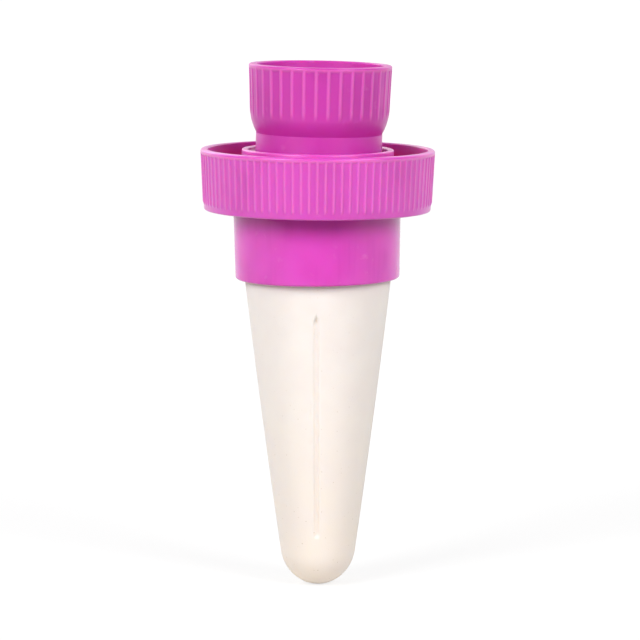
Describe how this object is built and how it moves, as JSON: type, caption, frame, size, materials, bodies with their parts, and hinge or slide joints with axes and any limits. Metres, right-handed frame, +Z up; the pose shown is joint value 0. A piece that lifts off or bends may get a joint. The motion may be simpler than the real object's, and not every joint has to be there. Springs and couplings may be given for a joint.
{
  "type": "self watering spike",
  "caption": "Porous ceramic plant watering cone with a glossy moulded collar, a ribbed ring for a wide bottle neck and a ribbed screw socket for a drinks bottle.",
  "frame": {"origin": "the lowest point of the ceramic tip, on the spike's axis", "axes": "+Z up the axis from the tip to the bottle socket's mouth, -Y towards the viewer of the picture, +X to the right"},
  "size_m": [0.0511, 0.051, 0.1145],
  "materials": {
    "fired_ceramic": "matt, porous, unglazed",
    "moulded_polypropylene": "satin gloss moulding",
    "silicone_seal": "matt",
    "sealant": "matt"
  },
  "bodies": {
    "cone": {"ceramic_cone": "fired_ceramic", "cone_sealant": "sealant", "cone_collar": "moulded_polypropylene"},
    "ring_seal": {"collar_gasket": "silicone_seal"},
    "ring": {"bottle_ring": "moulded_polypropylene", "wide_bottle_washer": "silicone_seal"},
    "socket_seal": {"adaptor_gasket": "silicone_seal"},
    "socket": {"bottle_socket": "moulded_polypropylene", "socket_washer": "silicone_seal"}
  },
  "joints": [
    {"name": "ring_lift", "type": "slide", "parent": "cone", "child": "ring_seal", "axis": [0, 0, 1], "range_m": [0, 0.0041]},
    {"name": "ring_unscrew", "type": "hinge", "parent": "ring_seal", "child": "ring", "pos_m": [0, 0, 0.0828], "axis": [0, 0, 1], "range_deg": [0, 720]},
    {"name": "socket_lift", "type": "slide", "parent": "ring", "child": "socket_seal", "axis": [0, 0, 1], "range_m": [0, 0.0081]},
    {"name": "socket_unscrew", "type": "hinge", "parent": "socket_seal", "child": "socket", "pos_m": [0, 0, 0.0961], "axis": [0, 0, 1], "range_deg": [0, 720]}
  ],
  "couplings": [
    {"joint": "ring_lift", "follows": "ring_unscrew", "m_per_rad": 0.00031831},
    {"joint": "socket_lift", "follows": "socket_unscrew", "m_per_rad": 0.00063662}
  ]
}
